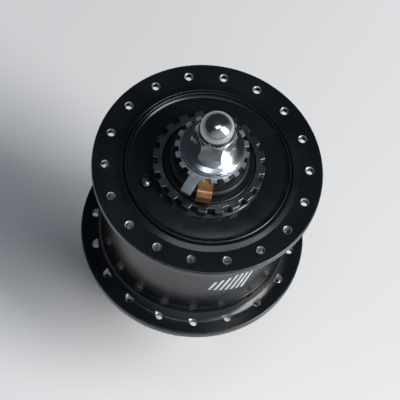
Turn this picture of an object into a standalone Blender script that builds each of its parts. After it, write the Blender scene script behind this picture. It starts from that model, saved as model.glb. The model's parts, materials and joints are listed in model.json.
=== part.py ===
"""Bicycle hub gear with planetary gearing inside, every piece as its own object.

Z is the axle. +Z is the brake side (left on the bicycle), -Z the sprocket side. The origin lies on the
axle, midway between the two spoke flanges. Sizes are in millimetres and are scaled to metres by MM.
"""

from math import acos, cos, pi, radians, sin, sqrt, tan, tau

import bmesh
import bpy
from mathutils import Matrix, Vector

MM = 0.001
CLEAR = 0.3  # gap kept between neighbouring pieces
WELD = 1e-7  # metres

# Axle and its ends
OVER_LOCK_NUTS = 120.0
AXLE_LENGTH = 168.0
AXLE_RADIUS = 4.75
AXLE_FLATS = 7.6  # across the two flats
LEFT_FACE = 44.5  # outer face of the left lock nut
RIGHT_FACE = LEFT_FACE - OVER_LOCK_NUTS
AXLE_STUB = (AXLE_LENGTH - OVER_LOCK_NUTS) / 2
BORE_ON_AXLE = AXLE_RADIUS + CLEAR

# Hub shell
FLANGE_SPACING = 62.0
FLANGE_RADIUS = 47.0
FLANGE_THICK = 3.6
SPOKE_CIRCLE = 41.5
SPOKES_PER_FLANGE = 18
SPOKE_HOLE = 1.45
HOLE_PHASE = radians(12.9)
BARREL_RADIUS = 38.0
SHELL_BORE = 34.5
SNOUT_BORE = 30.2
SNOUT_END = -38.5
BOSS_RADIUS = 18.6  # the end cap's boss, which carries the brake's splined ring
GREASE_PLUG_RADIUS = 2.2
PORT_CIRCLE = 26.2
PORT_ANGLE = radians(-150)

# Planetary gearing: one fixed sun, one free sun, three stepped planets and a ring gear
MODULE = 1.0
FIXED_SUN_TEETH = 24
FREE_SUN_TEETH = 30
PLANET_BIG_TEETH = 18
PLANET_SMALL_TEETH = 12
RING_TEETH = 60
PLANETS = 3
PLANET_ORBIT = MODULE * (FIXED_SUN_TEETH + PLANET_BIG_TEETH) / 2
PRESSURE_ANGLE = radians(20)
ADDENDUM = 0.85
DEDENDUM = 1.15
TOOTH_SLACK = 0.28
BIG_STEP = (3.0, 11.5)  # bottom and top along the axle
SMALL_STEP = (-6.3, 3.4)
PIN_RADIUS = 2.4
PIN_HOLE_RADIUS = 2.8
CAGE_RADIUS = 28.4
CAGE_BORE = 17.0
CAGE_LEFT = 15.3
CAGE_RIGHT = -10.0

# Ball bearings: path radius, height, ball radius and number
LEFT_BALLS = (12.4, 32.2, 2.38, 11)
SHELL_BALLS = (24.4, -34.2, 2.38, 16)
DRIVER_BALLS = (11.6, -44.3, 1.98, 11)

# Freewheel
RATCHET_TEETH = 24
RATCHET_TIP = 30.2
RATCHET_ROOT = 32.3
RATCHET_LOW = 19.0
RATCHET_HIGH = 25.0
PAWL_PIVOT_RADIUS = 26.9
PAWL_LENGTH = 8.6
PAWL_LIFT = radians(20)
RATCHET_PHASE = radians(1.3)  # puts a steep face just ahead of each pawl tip

# Sprocket side
SPROCKET_TEETH = 19
CHAIN_PITCH = 12.7
ROLLER_RADIUS = 3.95
SPROCKET_TOP = -42.9
SPROCKET_THICK = 3.0
SEAT_RADIUS = 17.4
DRIVER_END = -49.0
PULLEY_TOP = -50.9
PULLEY_FOOT = -56.5
BRACKET_FOOT = -60.6
PULLEY_RADIUS = 22.8
GROOVE_RADIUS = 20.8
SLEEVE_RADIUS = 7.3
NECK_RADIUS = 9.4
PULLEY_TRAVEL = radians(100)
STOP_X = 34.5  # middle of the cable stop, tangent to the pulley groove

# Axle nuts and washers
CAP_NUT_FLATS = 15.0
CAP_NUT_FLANGE = 12.8
CAP_NUT_HEIGHT = 24.0
LOCK_NUT_FLATS = 17.0
LOCK_NUT_HEIGHT = 4.0
SPACER_LENGTH = 3.7
FRAME_END_GAP = 2.3  # left between each lock nut and the washers outside it, for the frame end
KEYED_WASHER_RADIUS = 12.0
KEYED_WASHER_THICK = 1.6
KEYED_WASHER_REACH = 20.6  # from the axle to the far side of the bent tab
KEYED_WASHER_BEND = 4.6
TOOTHED_WASHER_RADIUS = 15.0
TOOTHED_WASHER_THICK = 1.3
TAB_ANGLE = radians(-86.5)
LOCK_TAB_ANGLE = radians(-106.5)
TO_TOOTHED_WASHER = FRAME_END_GAP + KEYED_WASHER_THICK + CLEAR
TO_CAP_NUT = TO_TOOTHED_WASHER + TOOTHED_WASHER_THICK + CLEAR


def clear_scene():
    for obj in list(bpy.data.objects):
        bpy.data.objects.remove(obj, do_unlink=True)


def material(name, colour, metallic, roughness):
    found = bpy.data.materials.get(name)
    if found:
        return found
    made = bpy.data.materials.new(name)
    made.use_nodes = True
    shader = made.node_tree.nodes["Principled BSDF"]
    shader.inputs["Base Color"].default_value = (*colour, 1)
    shader.inputs["Metallic"].default_value = metallic
    shader.inputs["Roughness"].default_value = roughness
    return made


def black_enamel():
    return material("black_enamel", (0.012, 0.013, 0.016), 0.1, 0.28)


def black_steel():
    return material("black_steel", (0.03, 0.03, 0.033), 0.7, 0.42)


def chrome():
    return material("chrome", (0.8, 0.81, 0.83), 1.0, 0.12)


def zinc():
    return material("zinc_plate", (0.6, 0.61, 0.63), 1.0, 0.32)


def hard_steel():
    return material("hard_steel", (0.42, 0.42, 0.43), 1.0, 0.25)


def brown_passivate():
    return material("brown_passivate", (0.5, 0.2, 0.04), 0.55, 0.4)


def bronze():
    return material("bronze", (0.55, 0.33, 0.12), 1.0, 0.35)


def grey_plastic():
    return material("grey_plastic", (0.09, 0.095, 0.1), 0.0, 0.5)


def polar(radius, angle, height=0.0):
    return Vector((radius * cos(angle), radius * sin(angle), height)) * MM


def finish(name, bm, look, at=(0, 0, 0), turn=0.0, sharp=32):
    """Turns a bmesh into a named object at a place, with smooth shading up to the sharp angle."""
    bmesh.ops.recalc_face_normals(bm, faces=bm.faces)
    mesh = bpy.data.meshes.new(name)
    bm.to_mesh(mesh)
    bm.free()
    mesh.materials.append(look)
    mesh.shade_smooth()
    mesh.set_sharp_from_angle(angle=radians(sharp))
    obj = bpy.data.objects.new(name, mesh)
    obj.location = Vector(at) * MM
    obj.rotation_euler.z = turn
    bpy.context.scene.collection.objects.link(obj)
    return obj


def copy_of(obj, name, at, turn):
    """A second object that shares the first one's mesh."""
    twin = bpy.data.objects.new(name, obj.data)
    twin.location = Vector(at) * MM
    twin.rotation_euler.z = turn
    bpy.context.scene.collection.objects.link(twin)
    return twin


def turned(outline, segments):
    """A lathe shape from a closed outline of (radius, height), or an open one that ends on the axis."""
    bm = bmesh.new()
    points = [bm.verts.new((radius * MM, 0, height * MM)) for radius, height in outline]
    joins = list(zip(points, points[1:]))
    if outline[0][0] > 0:
        joins.append((points[-1], points[0]))
    edges = [bm.edges.new(pair) for pair in joins]
    bmesh.ops.spin(
        bm, geom=points + edges, cent=(0, 0, 0), axis=(0, 0, 1), angle=tau, steps=segments, use_merge=True
    )
    bmesh.ops.remove_doubles(bm, verts=bm.verts, dist=WELD)
    return bm


def plate(loops, bottom, top):
    """A flat plate whose first loop is its edge and whose other loops are holes."""
    bm = bmesh.new()
    for loop in loops:
        points = [bm.verts.new((x * MM, y * MM, bottom * MM)) for x, y in loop]
        for start, end in zip(points, points[1:] + points[:1]):
            bm.edges.new((start, end))
    bmesh.ops.triangle_fill(bm, use_beauty=True, use_dissolve=False, edges=bm.edges[:])
    made = bmesh.ops.extrude_face_region(bm, geom=bm.faces[:])
    moved = [item for item in made["geom"] if isinstance(item, bmesh.types.BMVert)]
    bmesh.ops.translate(bm, verts=moved, vec=(0, 0, (top - bottom) * MM))
    return bm


def ring_of(bm, size, height, shape, segments):
    """A ring of points: 'round' is a circle, 'hex' a hexagon of this distance from middle to flat."""
    ring = []
    for k in range(segments):
        angle = tau * k / segments
        radius = size if shape == "round" else size / cos((angle % (pi / 3)) - pi / 6)
        ring.append(bm.verts.new(polar(radius, angle, height)))
    return ring


def skin(bm, rings):
    """Joins each ring of points to the next one."""
    for low, high in zip(rings, rings[1:]):
        for k in range(len(low)):
            after = (k + 1) % len(low)
            bm.faces.new((low[k], low[after], high[after], high[k]))


def circle(radius, segments, centre=(0.0, 0.0), phase=0.0):
    cx, cy = centre
    angles = [phase + tau * k / segments for k in range(segments)]
    return [(cx + radius * cos(a), cy + radius * sin(a)) for a in angles]


def cylinder(radius, bottom, top, segments, centre=(0.0, 0.0)):
    return plate([circle(radius, segments, centre)], bottom, top)


def box(low, high):
    bm = bmesh.new()
    bmesh.ops.create_cube(bm, size=1)
    size = [b - a for a, b in zip(low, high)]
    middle = [(a + b) / 2 for a, b in zip(low, high)]
    bmesh.ops.scale(bm, vec=Vector(size) * MM, verts=bm.verts)
    bmesh.ops.translate(bm, vec=Vector(middle) * MM, verts=bm.verts)
    return bm


def around(make, angles):
    """The same shape repeated about Z at each angle, in one bmesh."""
    joined = bmesh.new()
    for angle in angles:
        one = make()
        bmesh.ops.rotate(one, verts=one.verts, matrix=Matrix.Rotation(angle, 3, "Z"))
        mesh = bpy.data.meshes.new("repeat")
        one.to_mesh(mesh)
        one.free()
        joined.from_mesh(mesh)
        bpy.data.meshes.remove(mesh)
    return joined


def combine(target, bm, operation, solver="EXACT"):
    """Adds a Boolean of this shape to the target, with the shape as a hidden helper object."""
    bmesh.ops.recalc_face_normals(bm, faces=bm.faces)
    name = f"{target.name}_{operation.lower()}_{len(target.modifiers)}"
    mesh = bpy.data.meshes.new(name)
    bm.to_mesh(mesh)
    bm.free()
    helper = bpy.data.objects.new(name, mesh)
    helper.hide_render = True
    helper.display_type = "WIRE"
    helper.parent = target
    bpy.context.scene.collection.objects.link(helper)
    cut = target.modifiers.new(name, "BOOLEAN")
    cut.operation = operation
    cut.object = helper
    cut.solver = solver


def thirds(start=0.0):
    return [start + tau * k / PLANETS for k in range(PLANETS)]


# Gear teeth


def involute(radius, base):
    angle = acos(min(1.0, base / radius))
    return tan(angle) - angle


def gear_loop(teeth, phase, internal=False):
    """Outline of a spur gear with four points to a tooth; a tooth is centred on the phase angle."""
    pitch = MODULE * teeth / 2
    base = pitch * cos(PRESSURE_ANGLE)
    at_pitch = involute(pitch, base)
    half = pi / (2 * teeth) - TOOTH_SLACK / (2 * pitch)
    sign = -1 if internal else 1
    root = pitch - sign * DEDENDUM * MODULE
    tip = pitch + sign * ADDENDUM * MODULE

    def width(radius):
        return half + sign * (at_pitch - involute(max(radius, base), base))

    loop = []
    for k in range(teeth):
        middle = phase + tau * k / teeth
        for radius, offset in (
            (root, -width(root)),
            (tip, -width(tip)),
            (tip, width(tip)),
            (root, width(root)),
        ):
            loop.append((radius * cos(middle + offset), radius * sin(middle + offset)))
    return loop


def sprocket_loop():
    """Chain wheel edge: a round seat for each roller and a short flat crest between seats."""
    pitch_radius = CHAIN_PITCH / (2 * sin(pi / SPROCKET_TEETH))
    crest = pitch_radius + 3.6
    seat_steps = 4
    seat_half_angle = radians(62)
    loop = []
    for k in range(SPROCKET_TEETH):
        middle = tau * k / SPROCKET_TEETH
        centre_x = pitch_radius * cos(middle)
        centre_y = pitch_radius * sin(middle)
        for step in range(seat_steps):
            swing = seat_half_angle * (2 * step / (seat_steps - 1) - 1)
            angle = middle + pi - swing
            loop.append((centre_x + ROLLER_RADIUS * cos(angle), centre_y + ROLLER_RADIUS * sin(angle)))
        for share in (0.455, 0.545):
            angle = middle + share * tau / SPROCKET_TEETH
            loop.append((crest * cos(angle), crest * sin(angle)))
    return loop


def notched_loop(radius, depth, notches, solid_share, phase=0.0):
    """A circle with evenly spaced square notches of this depth."""
    loop = []
    step = tau / notches
    for k in range(notches):
        start = phase + k * step
        end = start + solid_share * step
        corners = ((radius, start), (radius, end), (radius - depth, end), (radius - depth, start + step))
        for size, angle in corners:
            loop.append((size * cos(angle), size * sin(angle)))
    return loop


def lobed_bore(radius, depth, lobe_half, segments):
    """A round bore with three square lobes that reach inward by the depth."""
    loop = []
    for k in range(segments):
        angle = tau * k / segments
        off_lobe = min(abs((angle - a + pi) % tau - pi) for a in thirds())
        size = radius - depth if off_lobe < lobe_half else radius
        loop.append((size * cos(angle), size * sin(angle)))
    return loop


# Pieces fixed to the axle


def make_axle():
    top = LEFT_FACE + AXLE_STUB
    foot = RIGHT_FACE - AXLE_STUB
    chamfer = 0.8
    outline = [
        (0, top),
        (AXLE_RADIUS - chamfer, top),
        (AXLE_RADIUS, top - chamfer),
        (AXLE_RADIUS, foot + chamfer),
        (AXLE_RADIUS - chamfer, foot),
        (0, foot),
    ]
    axle = finish("axle", turned(outline, 24), zinc())
    flat_end_left = LEFT_FACE - 3
    flat_end_right = RIGHT_FACE + 3
    side = AXLE_FLATS / 2
    wide = AXLE_RADIUS + 2
    past = 2.0
    for low, high in ((flat_end_left, top + past), (foot - past, flat_end_right)):
        def flat_cut(low=low, high=high):
            return box((side, -wide, low), (wide, wide, high))

        combine(axle, around(flat_cut, (0, pi)), "DIFFERENCE")


def make_fixed_sun_gear():
    teeth = gear_loop(FIXED_SUN_TEETH, 0)
    bore = circle(BORE_ON_AXLE, 12)
    finish("fixed_sun_gear", plate([teeth, bore], BIG_STEP[0] + CLEAR, BIG_STEP[1] - CLEAR), hard_steel())


def make_left_cone():
    top = LEFT_FACE - LOCK_NUT_HEIGHT - CLEAR
    outline = [
        (BORE_ON_AXLE, top - 11.2),
        (8.2, top - 11.2),
        (8.2, top - 9.6),
        (10.3, top - 5.6),
        (10.3, top - 3.6),
        (9.6, top - 3.0),
        (9.6, top),
        (BORE_ON_AXLE, top),
    ]
    finish("left_cone", turned(outline, 20), hard_steel())


def make_left_dust_cap():
    low = LEFT_FACE - 5.9
    outline = [
        (9.9, low),
        (15.2, low),
        (16.0, low + 0.7),
        (16.0, low + 2.0),
        (15.2, low + 2.7),
        (12.4, low + 2.7),
        (11.8, low + 2.2),
        (10.2, low + 2.2),
        (10.2, low + 1.5),
        (9.9, low + 1.5),
    ]
    finish("left_dust_cap", turned(outline, 24), black_steel())


def make_lock_nut(name, low):
    high = low + LOCK_NUT_HEIGHT
    half_flats = LOCK_NUT_FLATS / 2
    chamfer = 0.7
    rows = [
        (BORE_ON_AXLE, low, "round"),
        (half_flats, low, "round"),
        (half_flats, low + chamfer, "hex"),
        (half_flats, high - chamfer, "hex"),
        (half_flats, high, "round"),
        (BORE_ON_AXLE, high, "round"),
    ]
    bm = bmesh.new()
    rings = [ring_of(bm, *row, 18) for row in rows]
    skin(bm, rings + rings[:1])
    finish(name, bm, zinc(), sharp=25)


def tab_washer_loop(tab_width):
    """A round washer edge with one straight tab."""
    half = tab_width / 2
    segments = 28
    start = half / KEYED_WASHER_RADIUS
    loop = []
    for k in range(segments + 1):
        angle = start + (tau - 2 * start) * k / segments
        loop.append((KEYED_WASHER_RADIUS * cos(angle), KEYED_WASHER_RADIUS * sin(angle)))
    return loop + [(KEYED_WASHER_REACH, -half), (KEYED_WASHER_REACH, half)]


def axle_keyhole():
    """A round bore with two flats for the axle's flats, drawn for a washer whose tab lies along X."""
    half = AXLE_FLATS / 2 + CLEAR
    corners = circle(BORE_ON_AXLE, 16, phase=pi / 16)
    turned_back = Matrix.Rotation(-TAB_ANGLE, 2)
    flatted = [Vector((min(max(x, -half), half), y)) for x, y in corners]
    return [tuple(turned_back @ corner) for corner in flatted]


def make_keyed_washer(name, face, outward, look):
    """A washer whose tab is bent towards the hub, where it enters the slot of the frame end."""
    near = face + outward * FRAME_END_GAP
    far = near + outward * KEYED_WASHER_THICK
    tab_width = 6.4
    turn = Matrix.Rotation(TAB_ANGLE, 3, "Z")
    bm = plate([tab_washer_loop(tab_width), axle_keyhole()], min(near, far), max(near, far))
    bmesh.ops.rotate(bm, verts=bm.verts, matrix=turn)
    washer = finish(name, bm, look)
    inset = 0.15  # keeps the bent end's faces off the flat part's
    overlap = 0.6
    root = near + outward * overlap
    end = near - outward * KEYED_WASHER_BEND
    half = tab_width / 2 - inset
    inner = KEYED_WASHER_REACH - KEYED_WASHER_THICK
    bend = box((inner - inset, -half, min(root, end)), (KEYED_WASHER_REACH - inset, half, max(root, end)))
    bmesh.ops.rotate(bend, verts=bend.verts, matrix=turn)
    combine(washer, bend, "UNION")


def make_toothed_washer(name, face, outward, with_tab):
    """A lock washer with a toothed edge; the left one also has a short narrow tab."""
    near = face + outward * TO_TOOTHED_WASHER
    far = near + outward * TOOTHED_WASHER_THICK
    low, high = min(near, far), max(near, far)
    edge = notched_loop(TOOTHED_WASHER_RADIUS, 1.5, 18, 0.5)
    washer = finish(name, plate([edge, circle(BORE_ON_AXLE, 12)], low, high), zinc())
    if not with_tab:
        return
    inset = 0.2
    half_width = 2.2
    tab = box((12.0, -half_width, low + inset), (22.6, half_width, high - inset))
    bmesh.ops.rotate(tab, verts=tab.verts, matrix=Matrix.Rotation(LOCK_TAB_ANGLE, 3, "Z"))
    combine(washer, tab, "UNION")


def make_cap_nut(name, face, outward):
    """A domed hexagonal nut with a round flange, closed at its outer end."""
    base = face + outward * TO_CAP_NUT
    half_flats = CAP_NUT_FLATS / 2
    corner = half_flats / cos(pi / 6)
    past_axle = 0.6
    depth = AXLE_STUB - TO_CAP_NUT + past_axle
    segments = 18
    rows = [
        (BORE_ON_AXLE, depth, "round"),
        (BORE_ON_AXLE, 0, "round"),
        (CAP_NUT_FLANGE - 0.5, 0, "round"),
        (CAP_NUT_FLANGE, 0.6, "round"),
        (CAP_NUT_FLANGE, 1.9, "round"),
        (CAP_NUT_FLANGE - 1.0, 2.8, "round"),
        (corner + 0.7, 3.6, "round"),
        (half_flats, 4.6, "hex"),
        (half_flats, 14.2, "hex"),
        (half_flats - 0.1, 15.6, "round"),
        (half_flats - 0.2, 18.0, "round"),
        (half_flats - 1.1, 20.8, "round"),
        (half_flats - 3.0, 22.9, "round"),
        (half_flats - 5.4, CAP_NUT_HEIGHT - 0.15, "round"),
    ]
    bm = bmesh.new()
    rings = [ring_of(bm, size, base + outward * up, shape, segments) for size, up, shape in rows]
    skin(bm, rings)
    bm.faces.new(rings[0])
    tip = bm.verts.new(polar(0, 0, base + outward * CAP_NUT_HEIGHT))
    for here, after in zip(rings[-1], rings[-1][1:] + rings[-1][:1]):
        bm.faces.new((here, after, tip))
    finish(name, bm, chrome(), sharp=28)


def make_right_cone():
    """Bearing cone for the driver, with a neck that has two windows for the shift pulley's lugs."""
    cone_top = -40.6
    neck_top = PULLEY_TOP + 0.4
    neck_end = -62.6
    bore = SLEEVE_RADIUS + 0.4
    outline = [
        (bore, cone_top),
        (8.6, cone_top),
        (9.2, cone_top - 3.4),
        (10.0, cone_top - 6.4),
        (10.0, neck_top),
        (NECK_RADIUS, neck_top),
        (NECK_RADIUS, neck_end),
        (bore, neck_end),
    ]
    cone = finish("right_cone", turned(outline, 20), hard_steel())
    margin = radians(12)
    span = PULLEY_TRAVEL + 2 * margin
    steps = 6
    outside = NECK_RADIUS + 1.2
    inside = bore - 1.3
    for side in (0, pi):
        angles = [side - margin + span * k / steps for k in range(steps + 1)]
        outer = [(outside * cos(a), outside * sin(a)) for a in angles]
        inner = [(inside * cos(a), inside * sin(a)) for a in reversed(angles)]
        window = plate([outer + inner], PULLEY_FOOT + 0.8, PULLEY_TOP - 0.9)
        combine(cone, window, "DIFFERENCE")


def make_pulley_bracket():
    """Fixed plate beside the shift pulley, with an arm that carries the cable stop."""
    bottom, top = BRACKET_FOOT, PULLEY_FOOT - 0.5
    bm = bmesh.new()
    arm_end = circle(5.0, 12, (STOP_X, GROOVE_RADIUS))
    for x, y in circle(PULLEY_RADIUS + 0.8, 28) + arm_end:
        for height in (bottom, top):
            bm.verts.new(Vector((x, y, height)) * MM)
    bmesh.ops.convex_hull(bm, input=bm.verts[:])
    loose = [v for v in bm.verts if not v.link_faces]
    bmesh.ops.delete(bm, geom=loose, context="VERTS")
    bracket = finish("pulley_bracket", bm, grey_plastic())
    combine(bracket, cylinder(NECK_RADIUS + CLEAR, bottom - 1, top + 1, 20), "DIFFERENCE")


def make_cable_stop():
    """Tube that takes the end of the shift cable's housing; the inner wire leaves through the small hole."""
    radius = 3.0
    outline = [
        (1.0, 0),
        (radius - 0.4, 0),
        (radius, 0.4),
        (radius, 9.0),
        (radius - 0.4, 9.4),
        (2.1, 9.4),
        (2.1, 2.5),
        (1.0, 2.5),
    ]
    bm = turned(outline, 12)
    bmesh.ops.rotate(bm, verts=bm.verts, matrix=Matrix.Rotation(pi / 2, 3, "Y"))
    start = STOP_X - 5
    middle = (PULLEY_TOP + PULLEY_FOOT) / 2
    finish("cable_stop", bm, zinc(), at=(start, GROOVE_RADIUS, middle))


def make_pulley_fixing_ring():
    edge = notched_loop(15.4, 1.6, 6, 0.75)
    top = BRACKET_FOOT - CLEAR
    finish("pulley_fixing_ring", plate([edge, circle(NECK_RADIUS + CLEAR, 20)], top - 2.0, top), zinc())


def make_right_spacer():
    low = RIGHT_FACE + LOCK_NUT_HEIGHT + CLEAR
    high = low + SPACER_LENGTH
    radius = 9.6
    outline = [(BORE_ON_AXLE, low), (radius, low), (radius, high), (BORE_ON_AXLE, high)]
    finish("right_spacer", turned(outline, 20), black_steel())


def make_pulley_spring():
    """Coil around the right cone that turns the shift pulley back."""
    turns = 2.2
    steps = 26
    wire = 0.42
    coil = 12.1
    low, high = -50.1, -47.4
    curve = bpy.data.curves.new("pulley_spring", "CURVE")
    curve.dimensions = "3D"
    curve.bevel_depth = wire * MM
    curve.bevel_resolution = 1
    curve.use_fill_caps = True
    spline = curve.splines.new("POLY")
    spline.points.add(steps)
    for k, point in enumerate(spline.points):
        share = k / steps
        place = polar(coil, tau * turns * share, low + (high - low) * share)
        point.co = (*place, 1)
    curve.materials.append(hard_steel())
    spring = bpy.data.objects.new("pulley_spring", curve)
    bpy.context.scene.collection.objects.link(spring)


# Pieces that turn with the hub shell


def shell_outline():
    half = FLANGE_SPACING / 2
    face = half + FLANGE_THICK / 2
    back = half - FLANGE_THICK / 2
    edge = FLANGE_RADIUS
    upper = [
        (SHELL_BORE, face + 0.7),
        (SHELL_BORE + 1.0, face + 0.7),
        (SHELL_BORE + 1.7, face),
        (edge - 0.8, face),
        (edge, face - 0.7),
        (edge, back + 0.6),
        (edge - 0.8, back),
        (BARREL_RADIUS + 3.2, back),
        (BARREL_RADIUS + 1.2, back - 1.4),
        (BARREL_RADIUS, back - 5.0),
    ]
    lower = [(radius, -height) for radius, height in reversed(upper[3:])]
    snout = [
        (35.4, -face),
        (33.6, -face - 3.2),
        (33.0, SNOUT_END),
        (SNOUT_BORE, SNOUT_END),
        (SNOUT_BORE, -29.6),
        (SHELL_BORE, -26.0),
    ]
    return upper + lower + snout


def spoke_holes():
    past = 1.0
    joined = bmesh.new()
    for side, phase in ((1, HOLE_PHASE), (-1, HOLE_PHASE + pi / SPOKES_PER_FLANGE)):
        middle = side * FLANGE_SPACING / 2
        low = middle - FLANGE_THICK / 2 - past
        high = middle + FLANGE_THICK / 2 + past

        def hole(low=low, high=high):
            return cylinder(SPOKE_HOLE, low, high, 6, (SPOKE_CIRCLE, 0))

        row = around(hole, [phase + tau * k / SPOKES_PER_FLANGE for k in range(SPOKES_PER_FLANGE)])
        mesh = bpy.data.meshes.new("holes")
        row.to_mesh(mesh)
        row.free()
        joined.from_mesh(mesh)
        bpy.data.meshes.remove(mesh)
    return joined


def make_hub_shell():
    shell = finish("hub_shell", turned(shell_outline(), 44), black_enamel())
    combine(shell, spoke_holes(), "DIFFERENCE")


def make_left_end_cap():
    """Dished cover screwed into the shell's left end; its boss is the cup of the left bearing."""
    cup = LEFT_BALLS[0] + LEFT_BALLS[2] + 0.62
    outline = [
        (SHELL_BORE - CLEAR, 27.2),
        (SHELL_BORE - CLEAR, 33.4),
        (33.4, 34.0),
        (32.6, 33.3),
        (26.0, 33.2),
        (19.6, 34.1),
        (BOSS_RADIUS, 34.4),
        (BOSS_RADIUS, 37.7),
        (BOSS_RADIUS - 0.5, 38.2),
        (cup, 38.2),
        (cup, 31.2),
        (14.2, 29.3),
        (11.4, 29.3),
        (11.4, 27.4),
    ]
    cap = finish("left_end_cap", turned(outline, 40), black_enamel())
    place = (PORT_CIRCLE * cos(PORT_ANGLE), PORT_CIRCLE * sin(PORT_ANGLE))
    port = cylinder(GREASE_PLUG_RADIUS + CLEAR, 25, 36, 8, place)
    combine(cap, port, "DIFFERENCE")


def make_grease_plug():
    foot, top = 28.4, 34.5
    radius = GREASE_PLUG_RADIUS
    outline = [
        (0, top),
        (radius - 0.8, top),
        (radius - 0.2, top - 0.4),
        (radius - 0.2, top - 0.6),
        (radius, top - 0.8),
        (radius, foot),
        (0, foot),
    ]
    place = (PORT_CIRCLE * cos(PORT_ANGLE), PORT_CIRCLE * sin(PORT_ANGLE), 0)
    finish("grease_plug", turned(outline, 12), zinc(), at=place)


def make_brake_spline_ring():
    """Splined collar on the end cap's boss, which drives a roller brake unit."""
    edge = notched_loop(22.8, 1.9, 20, 0.55)
    bore = circle(BOSS_RADIUS + CLEAR, 30)
    finish("brake_spline_ring", plate([edge, bore], 34.6, 38.4), zinc())


def make_ratchet_ring():
    """Saw teeth that the ring gear's pawls catch, fixed in the shell."""
    inner = []
    for k in range(RATCHET_TEETH):
        start = RATCHET_PHASE + tau * k / RATCHET_TEETH
        for radius, share in ((RATCHET_TIP, 0.0), (RATCHET_ROOT, 0.65), (RATCHET_ROOT, 0.96)):
            angle = start + share * tau / RATCHET_TEETH
            inner.append((radius * cos(angle), radius * sin(angle)))
    outer = circle(SHELL_BORE - CLEAR, 36)
    finish("ratchet_ring", plate([outer, inner], RATCHET_LOW, RATCHET_HIGH), hard_steel())


def make_right_ball_cup():
    path, height, ball, _ = SHELL_BALLS
    wall = path + ball + 0.5
    rim = SNOUT_BORE - CLEAR
    outline = [
        (rim, -30.6),
        (rim, SNOUT_END + 0.3),
        (wall, SNOUT_END + 0.3),
        (wall, height + 0.8),
        (wall - 1.3, height + 2.8),
        (path - 0.4, height + 3.1),
        (path - 0.4, -30.6),
    ]
    finish("right_ball_cup", turned(outline, 28), hard_steel())


# Bearings


def make_ball_ring(name, path, height, ball, count):
    """A ring of balls in their cage, as one body: a round rod that swells into each ball."""
    rod = 0.9
    sides = 6
    stations = []
    spacing = tau * path / count
    for k in range(count):
        for off in (-0.75, 0.0, 0.75):
            reach = off * ball
            stations.append((tau * k / count + reach / path, sqrt(ball * ball - reach * reach)))
        if spacing > 2 * ball * 1.1:
            stations.append((tau * (k + 0.5) / count, rod))
    bm = bmesh.new()
    rings = []
    for angle, radius in stations:
        ring = []
        for s in range(sides):
            turn = tau * (s + 0.5) / sides
            ring.append(bm.verts.new(polar(path + radius * cos(turn), angle, height + radius * sin(turn))))
        rings.append(ring)
    for here, there in zip(rings, rings[1:] + rings[:1]):
        for s in range(sides):
            after = (s + 1) % sides
            bm.faces.new((here[s], here[after], there[after], there[s]))
    finish(name, bm, hard_steel(), sharp=60)


# Driver and sprocket


def make_driver():
    """Tube that takes the sprocket's drive inward, with three dogs that turn the planet cage."""
    cup_path, cup_height, ball, _ = DRIVER_BALLS
    cup = cup_path + ball + 0.42
    sleeve = 15.6
    flange = 20.2
    outline = [
        (9.8, -11.6),
        (flange, -11.6),
        (flange, -14.4),
        (sleeve, -14.4),
        (sleeve, -27.6),
        (20.4, -31.0),
        (21.5, -33.8),
        (22.2, -36.2),
        (23.4, -37.5),
        (23.4, -38.5),
        (19.8, -38.5),
        (19.8, SPROCKET_TOP + CLEAR),
        (SEAT_RADIUS, SPROCKET_TOP + CLEAR),
        (SEAT_RADIUS, DRIVER_END),
        (cup, DRIVER_END),
        (cup, cup_height + 2.4),
        (9.8, cup_height + 2.4),
    ]
    driver = finish("driver", turned(outline, 28), hard_steel())

    def dog():
        return box((17.5, -3.6, -13.2), (flange - 0.3, 3.6, CAGE_RIGHT + 2.4))

    def slot():
        return box((SEAT_RADIUS - 1.6, -3.4, DRIVER_END - 1), (SEAT_RADIUS + 1, 3.4, SPROCKET_TOP + 0.1))

    combine(driver, around(dog, thirds(pi / 3)), "UNION")
    combine(driver, around(slot, thirds()), "DIFFERENCE")


def make_driver_dust_cap():
    top = SNOUT_END - 0.5
    outline = [
        (20.1, top),
        (33.4, top),
        (34.2, top - 0.6),
        (33.6, top - 1.4),
        (28.0, top - 1.9),
        (24.0, top - 3.0),
        (20.1, top - 3.0),
    ]
    finish("driver_dust_cap", turned(outline, 30), black_steel())


def make_sprocket():
    bore = lobed_bore(SEAT_RADIUS + CLEAR, 1.3, radians(9), 36)
    holes = [circle(3.4, 8, (27.0 * cos(a), 27.0 * sin(a))) for a in [tau * k / 6 for k in range(6)]]
    bm = plate([sprocket_loop(), bore, *holes], SPROCKET_TOP - SPROCKET_THICK, SPROCKET_TOP)
    finish("sprocket", bm, zinc())


def make_snap_ring():
    """Open wire ring that keeps the sprocket on the driver."""
    inner, outer = SEAT_RADIUS + CLEAR, SEAT_RADIUS + 2.3
    gap = radians(9)
    steps = 30
    angles = [gap + (tau - 2 * gap) * k / steps for k in range(steps + 1)]
    loop = [(outer * cos(a), outer * sin(a)) for a in angles]
    loop += [(inner * cos(a), inner * sin(a)) for a in reversed(angles)]
    top = SPROCKET_TOP - SPROCKET_THICK - CLEAR
    finish("sprocket_snap_ring", plate([loop], top - 1.2, top), hard_steel())


# Planetary train


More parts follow.
